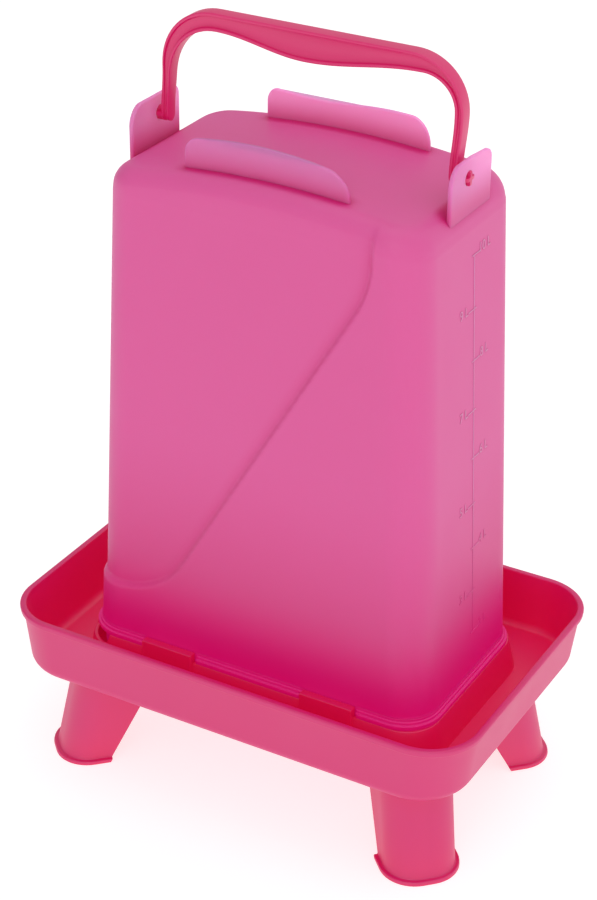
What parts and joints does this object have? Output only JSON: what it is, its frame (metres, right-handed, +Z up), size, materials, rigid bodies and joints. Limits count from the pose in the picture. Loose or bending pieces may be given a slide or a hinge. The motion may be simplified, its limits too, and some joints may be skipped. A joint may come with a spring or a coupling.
{
  "type": "poultry drinker",
  "caption": "Gravity-fed poultry drinker: tall translucent tank with a folding bail handle, standing in the collar of a lipped trough tray on push-on channel legs.",
  "frame": {"origin": "on the ground, under the centre of the tray", "axes": "+Z up, +X along the tray's length, the front with the relief line faces -Y"},
  "size_m": [0.3404, 0.2238, 0.519],
  "materials": {
    "tank_plastic": "satin",
    "tray_plastic": "satin",
    "handle_plastic": "satin"
  },
  "bodies": {
    "tray": {"drinking_tray": "tray_plastic"},
    "tank": {"fount_tank": "tank_plastic"},
    "handle": {"carry_handle": "handle_plastic"},
    "leg_front_left": {"leg_front_left": "tray_plastic"},
    "leg_front_right": {"leg_front_right": "tray_plastic"},
    "leg_rear_left": {"leg_rear_left": "tray_plastic"},
    "leg_rear_right": {"leg_rear_right": "tray_plastic"}
  },
  "joints": [
    {"name": "tank_lift", "type": "slide", "parent": "tray", "child": "tank", "axis": [0, 0, 1], "range_m": [0, 0.1]},
    {"name": "handle_swing", "type": "hinge", "parent": "tank", "child": "handle", "pos_m": [0, 0, 0.4469], "axis": [1, 0, 0], "range_deg": [-90, 90]},
    {"name": "leg_front_left_pull", "type": "slide", "parent": "tray", "child": "leg_front_left", "axis": [0, 0, -1], "range_m": [0, 0.03]},
    {"name": "leg_front_right_pull", "type": "slide", "parent": "tray", "child": "leg_front_right", "axis": [0, 0, -1], "range_m": [0, 0.03]},
    {"name": "leg_rear_left_pull", "type": "slide", "parent": "tray", "child": "leg_rear_left", "axis": [0, 0, -1], "range_m": [0, 0.03]},
    {"name": "leg_rear_right_pull", "type": "slide", "parent": "tray", "child": "leg_rear_right", "axis": [0, 0, -1], "range_m": [0, 0.03]}
  ]
}
